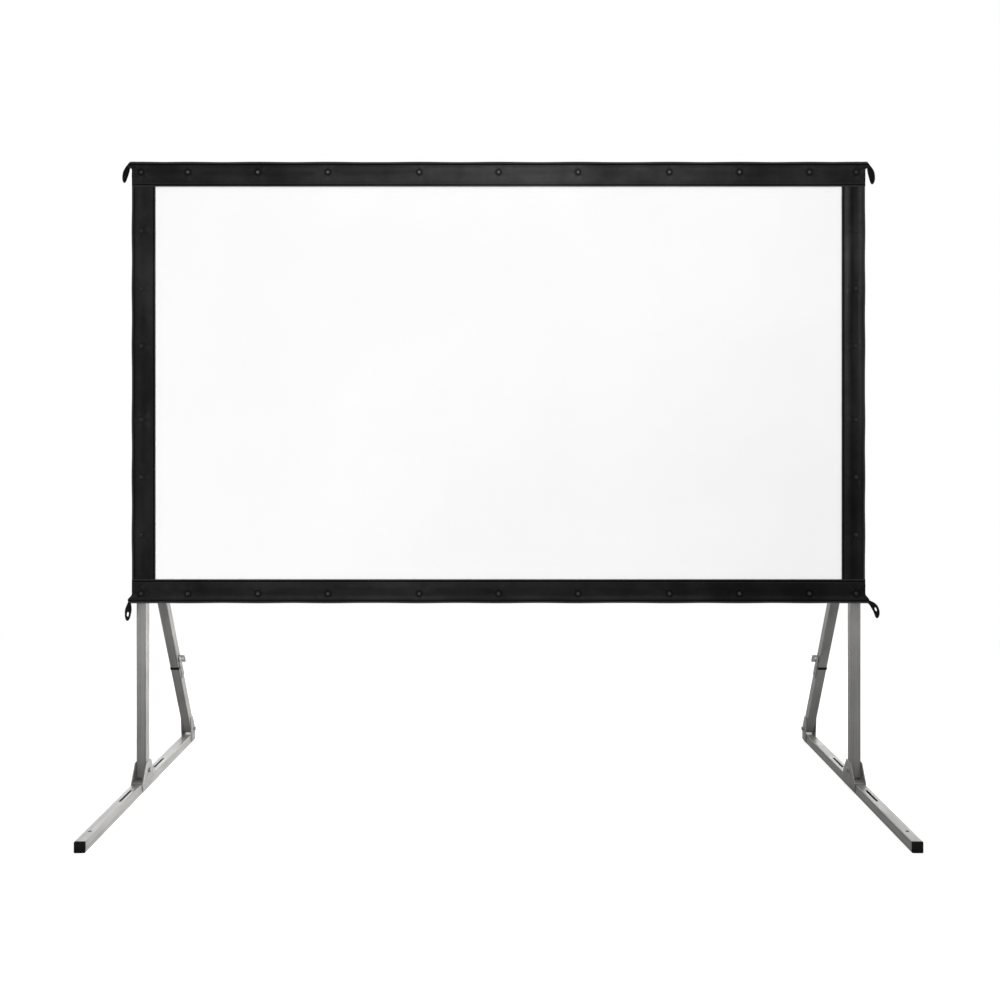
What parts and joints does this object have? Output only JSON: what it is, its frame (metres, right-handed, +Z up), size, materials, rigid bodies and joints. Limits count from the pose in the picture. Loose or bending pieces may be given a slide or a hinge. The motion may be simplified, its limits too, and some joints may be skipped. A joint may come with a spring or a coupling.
{
  "type": "outdoor projection screen",
  "caption": "Free-standing projection screen: white cloth with a black press-studded border on a folding tube frame, on side legs with long feet and clamped diagonal braces.",
  "frame": {"origin": "on the floor, midway between the two legs and midway along the feet", "axes": "+X along the screen's width, +Y away from the viewer towards the braces, +Z up; the picture side faces -Y"},
  "size_m": [2.4428, 0.99, 2.037],
  "materials": {
    "mill_aluminium": "satin mill finish",
    "zinc_steel": "zinc plated, dull",
    "black_plastic": "fine moulded texture",
    "black_border_cloth": "coated webbing cloth, slight sheen",
    "white_screen_cloth": "matt white screen coating"
  },
  "bodies": {
    "screen_frame": {"top_rail_left": "mill_aluminium", "top_rail_middle": "mill_aluminium", "top_rail_right": "mill_aluminium", "bottom_rail_left": "mill_aluminium", "bottom_rail_middle": "mill_aluminium", "bottom_rail_right": "mill_aluminium", "side_rail_left_lower": "mill_aluminium", "side_rail_left_upper": "mill_aluminium", "side_rail_right_lower": "mill_aluminium", "side_rail_right_upper": "mill_aluminium", "corner_elbow_top_left": "black_plastic", "corner_elbow_top_right": "black_plastic", "corner_elbow_bottom_left": "black_plastic", "corner_elbow_bottom_right": "black_plastic", "fold_hinge_top_left": "zinc_steel", "fold_hinge_top_right": "zinc_steel", "fold_hinge_bottom_left": "zinc_steel", "fold_hinge_bottom_right": "zinc_steel", "fold_hinge_side_left": "zinc_steel", "fold_hinge_side_right": "zinc_steel", "projection_sheet": "white_screen_cloth", "border_top": "black_border_cloth", "border_bottom": "black_border_cloth", "border_left": "black_border_cloth", "border_right": "black_border_cloth", "corner_loop_top_left": "black_border_cloth", "corner_loop_top_right": "black_border_cloth", "corner_loop_bottom_left": "black_border_cloth", "corner_loop_bottom_right": "black_border_cloth", "leg_post_left": "mill_aluminium", "leg_post_cap_left": "black_plastic", "brace_top_bracket_left": "zinc_steel", "leg_post_right": "mill_aluminium", "leg_post_cap_right": "black_plastic", "brace_top_bracket_right": "zinc_steel"},
    "latch_top_left": {"fold_latch_top_left": "black_plastic"},
    "latch_top_right": {"fold_latch_top_right": "black_plastic"},
    "latch_bottom_left": {"fold_latch_bottom_left": "black_plastic"},
    "latch_bottom_right": {"fold_latch_bottom_right": "black_plastic"},
    "latch_side_left": {"fold_latch_side_left": "black_plastic"},
    "latch_side_right": {"fold_latch_side_right": "black_plastic"},
    "foot_left": {"foot_tube_left": "mill_aluminium", "foot_cap_left": "black_plastic", "foot_saddle_left": "zinc_steel", "brace_foot_bracket_left": "zinc_steel"},
    "upper_brace_left": {"brace_upper_left": "mill_aluminium"},
    "lower_brace_left": {"brace_lower_left": "mill_aluminium"},
    "knob_left": {"brace_knob_left": "zinc_steel"},
    "screw_lower_left": {"leg_screw_lower_left": "black_plastic"},
    "screw_upper_left": {"leg_screw_upper_left": "black_plastic"},
    "foot_right": {"foot_tube_right": "mill_aluminium", "foot_cap_right": "black_plastic", "foot_saddle_right": "zinc_steel", "brace_foot_bracket_right": "zinc_steel"},
    "upper_brace_right": {"brace_upper_right": "mill_aluminium"},
    "lower_brace_right": {"brace_lower_right": "mill_aluminium"},
    "knob_right": {"brace_knob_right": "zinc_steel"},
    "screw_lower_right": {"leg_screw_lower_right": "black_plastic"},
    "screw_upper_right": {"leg_screw_upper_right": "black_plastic"}
  },
  "joints": [
    {"name": "latch_top_left_turn", "type": "hinge", "parent": "screen_frame", "child": "latch_top_left", "pos_m": [-0.37, -0.0338, 1.9845], "axis": [0, -1, 0], "range_deg": [0, 90]},
    {"name": "latch_top_right_turn", "type": "hinge", "parent": "screen_frame", "child": "latch_top_right", "pos_m": [0.37, -0.0338, 1.9845], "axis": [0, 1, 0], "range_deg": [0, 90]},
    {"name": "latch_bottom_left_turn", "type": "hinge", "parent": "screen_frame", "child": "latch_bottom_left", "pos_m": [-0.37, -0.0338, 0.6705], "axis": [0, 1, 0], "range_deg": [0, 90]},
    {"name": "latch_bottom_right_turn", "type": "hinge", "parent": "screen_frame", "child": "latch_bottom_right", "pos_m": [0.37, -0.0338, 0.6705], "axis": [0, -1, 0], "range_deg": [0, 90]},
    {"name": "latch_side_left_turn", "type": "hinge", "parent": "screen_frame", "child": "latch_side_left", "pos_m": [-1.1305, -0.0338, 1.2975], "axis": [0, 1, 0], "range_deg": [0, 90]},
    {"name": "latch_side_right_turn", "type": "hinge", "parent": "screen_frame", "child": "latch_side_right", "pos_m": [1.1305, -0.0338, 1.2975], "axis": [0, -1, 0], "range_deg": [0, 90]},
    {"name": "foot_left_fold", "type": "hinge", "parent": "screen_frame", "child": "foot_left", "pos_m": [-1.167, 0, 0.0605], "axis": [-1, 0, 0], "range_deg": [0, 90]},
    {"name": "upper_brace_left_swing", "type": "hinge", "parent": "screen_frame", "child": "upper_brace_left", "pos_m": [-1.167, 0.033, 0.89], "axis": [-1, 0, 0], "range_deg": [0, 27.5]},
    {"name": "lower_brace_left_swing", "type": "hinge", "parent": "foot_left", "child": "lower_brace_left", "pos_m": [-1.167, 0.479, 0.049], "axis": [1, 0, 0], "range_deg": [0, 62]},
    {"name": "brace_knob_left_turn", "type": "hinge", "parent": "upper_brace_left", "child": "knob_left", "pos_m": [-1.167, 0.319, 0.3507], "axis": [1, 0, 0], "continuous": true},
    {"name": "screw_lower_left_turn", "type": "hinge", "parent": "screen_frame", "child": "screw_lower_left", "pos_m": [-1.167, 0, 0.992], "axis": [0, 1, 0], "continuous": true},
    {"name": "screw_upper_left_turn", "type": "hinge", "parent": "screen_frame", "child": "screw_upper_left", "pos_m": [-1.167, 0, 1.08], "axis": [0, 1, 0], "continuous": true},
    {"name": "foot_right_fold", "type": "hinge", "parent": "screen_frame", "child": "foot_right", "pos_m": [1.167, 0, 0.0605], "axis": [-1, 0, 0], "range_deg": [0, 90]},
    {"name": "upper_brace_right_swing", "type": "hinge", "parent": "screen_frame", "child": "upper_brace_right", "pos_m": [1.167, 0.033, 0.89], "axis": [-1, 0, 0], "range_deg": [0, 27.5]},
    {"name": "lower_brace_right_swing", "type": "hinge", "parent": "foot_right", "child": "lower_brace_right", "pos_m": [1.167, 0.479, 0.049], "axis": [1, 0, 0], "range_deg": [0, 62]},
    {"name": "brace_knob_right_turn", "type": "hinge", "parent": "upper_brace_right", "child": "knob_right", "pos_m": [1.167, 0.319, 0.3507], "axis": [-1, 0, 0], "continuous": true},
    {"name": "screw_lower_right_turn", "type": "hinge", "parent": "screen_frame", "child": "screw_lower_right", "pos_m": [1.167, 0, 0.992], "axis": [0, 1, 0], "continuous": true},
    {"name": "screw_upper_right_turn", "type": "hinge", "parent": "screen_frame", "child": "screw_upper_right", "pos_m": [1.167, 0, 1.08], "axis": [0, 1, 0], "continuous": true}
  ]
}
